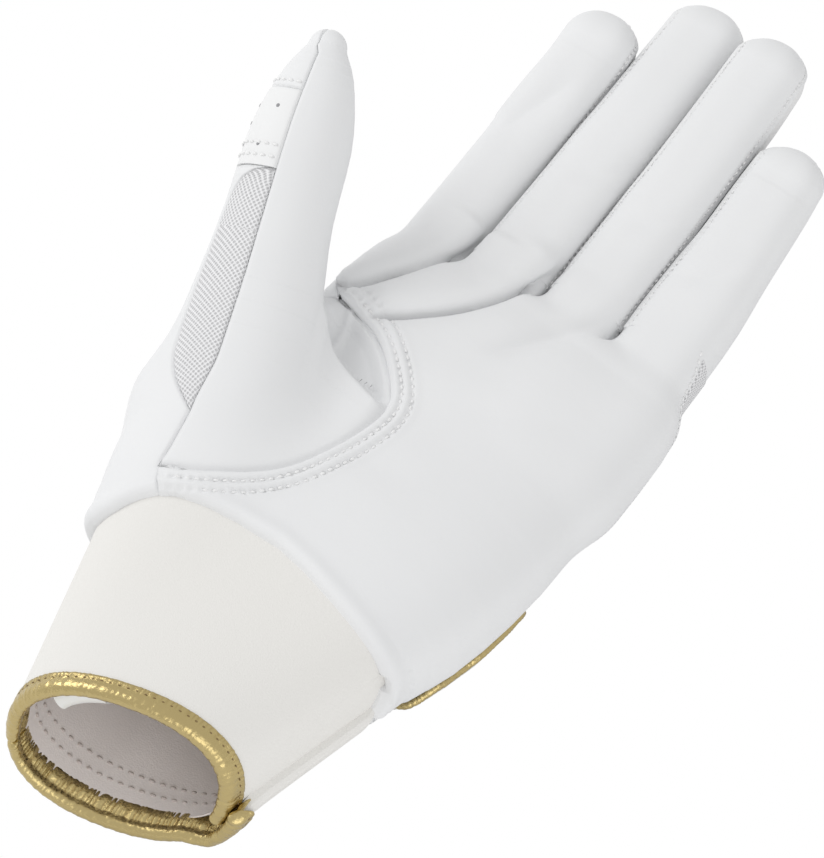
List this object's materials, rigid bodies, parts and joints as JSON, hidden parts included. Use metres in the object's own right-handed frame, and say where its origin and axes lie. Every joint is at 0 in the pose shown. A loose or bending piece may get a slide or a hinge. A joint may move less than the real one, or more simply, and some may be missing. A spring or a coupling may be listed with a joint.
{
  "type": "batting glove",
  "caption": "Left-hand batting glove: leather palm and fingers, mesh thumb panel, knit finger backs, neoprene cuff with gold rolled edges and a hook-and-loop wrist strap.",
  "frame": {"origin": "centre of the flat outer face of the badge on the back of the wrist strap, the lowest face of the glove", "axes": "+Z out of the palm, +Y towards the fingertips, -X towards the thumb"},
  "size_m": [0.1164, 0.2573, 0.0723],
  "materials": {
    "palm_leather": "smooth white sheepskin leather, matt",
    "perforated_leather": "white leather with rows of small vent holes",
    "finger_knit": "white stretch knit",
    "mesh": "white diamond mesh",
    "cuff_neoprene": "cream knit-faced neoprene",
    "gold_binding": "metallic gold coated leather",
    "label_fabric": "glossy white woven label, blank",
    "strap": "white coated strap leather",
    "closure": "hook and loop tape",
    "badge_rubber": "soft moulded plate, blank"
  },
  "bodies": {
    "hand": {"back_hand_panel": "finger_knit", "binding_back": "gold_binding", "binding_front": "gold_binding", "cuff_back_flap": "cuff_neoprene", "cuff_front": "cuff_neoprene", "inner_label": "label_fabric", "knuckle_panel": "finger_knit", "loop_patch": "closure", "palm_leather": "palm_leather", "radial_leather": "palm_leather", "strap_badge": "badge_rubber", "strap_root": "strap", "thumb_base_leather": "palm_leather", "thumb_mesh_base": "mesh", "ulnar_mesh_gusset": "mesh"},
    "index_base": {"index_back_base": "finger_knit", "index_front_base": "palm_leather", "index_ulnar_side_base": "finger_knit"},
    "index_tip": {"index_back_tip": "finger_knit", "index_front_tip": "palm_leather", "index_ulnar_side_tip": "finger_knit"},
    "middle_base": {"middle_back_base": "finger_knit", "middle_front_base": "palm_leather", "middle_radial_side_base": "finger_knit", "middle_ulnar_side_base": "finger_knit"},
    "middle_tip": {"middle_back_tip": "finger_knit", "middle_front_tip": "palm_leather", "middle_radial_side_tip": "finger_knit", "middle_ulnar_side_tip": "finger_knit"},
    "ring_base": {"ring_back_base": "finger_knit", "ring_front_base": "palm_leather", "ring_radial_side_base": "finger_knit", "ring_ulnar_side_base": "finger_knit"},
    "ring_tip": {"ring_back_tip": "finger_knit", "ring_front_tip": "palm_leather", "ring_radial_side_tip": "finger_knit", "ring_ulnar_side_tip": "finger_knit"},
    "little_base": {"little_back_base": "finger_knit", "little_front_base": "palm_leather", "little_radial_side_base": "finger_knit"},
    "little_tip": {"little_back_tip": "finger_knit", "little_front_tip": "palm_leather", "little_radial_side_tip": "finger_knit"},
    "thumb_middle": {"thumb_front_mid": "palm_leather", "thumb_mesh_mid": "mesh", "thumb_back_mid": "palm_leather"},
    "thumb_end": {"thumb_front_tip": "palm_leather", "thumb_perforated_leather": "perforated_leather", "thumb_tip_cap": "palm_leather"},
    "strap_flap": {"strap_end": "strap", "strap_binding": "gold_binding", "hook_patch": "closure"}
  },
  "joints": [
    {"name": "index_knuckle", "type": "hinge", "parent": "hand", "child": "index_base", "pos_m": [-0.0185, 0.08405, 0.03035], "axis": [1, 0, 0], "range_deg": [0, 70]},
    {"name": "index_bend", "type": "hinge", "parent": "index_base", "child": "index_tip", "pos_m": [-0.0185, 0.12, 0.03275], "axis": [1, 0, 0], "range_deg": [0, 75]},
    {"name": "middle_knuckle", "type": "hinge", "parent": "hand", "child": "middle_base", "pos_m": [0.001, 0.0863, 0.0318], "axis": [1, 0, 0], "range_deg": [0, 70]},
    {"name": "middle_bend", "type": "hinge", "parent": "middle_base", "child": "middle_tip", "pos_m": [0.001, 0.129, 0.0333], "axis": [1, 0, 0], "range_deg": [0, 75]},
    {"name": "ring_knuckle", "type": "hinge", "parent": "hand", "child": "ring_base", "pos_m": [0.0206, 0.089, 0.0303], "axis": [1, 0, 0], "range_deg": [0, 70]},
    {"name": "ring_bend", "type": "hinge", "parent": "ring_base", "child": "ring_tip", "pos_m": [0.0206, 0.1285, 0.03395], "axis": [1, 0, 0], "range_deg": [0, 75]},
    {"name": "little_knuckle", "type": "hinge", "parent": "hand", "child": "little_base", "pos_m": [0.0417, 0.0931, 0.0287], "axis": [1, 0, 0], "range_deg": [0, 70]},
    {"name": "little_bend", "type": "hinge", "parent": "little_base", "child": "little_tip", "pos_m": [0.041, 0.122, 0.03075], "axis": [1, 0, 0], "range_deg": [0, 75]},
    {"name": "thumb_knuckle", "type": "hinge", "parent": "hand", "child": "thumb_middle", "pos_m": [-0.02751, 0.04969, 0.05449], "axis": [-0.3078, -0.5222, 0.7954], "range_deg": [-30, 0]},
    {"name": "thumb_bend", "type": "hinge", "parent": "thumb_middle", "child": "thumb_end", "pos_m": [-0.0328, 0.0624, 0.06022], "axis": [-0.3256, -0.4759, 0.817], "range_deg": [-45, 0]},
    {"name": "strap_peel", "type": "hinge", "parent": "hand", "child": "strap_flap", "pos_m": [0.0216, 0, 0.00077], "axis": [0.1304, 0.9909, -0.0326], "range_deg": [0, 100]}
  ]
}
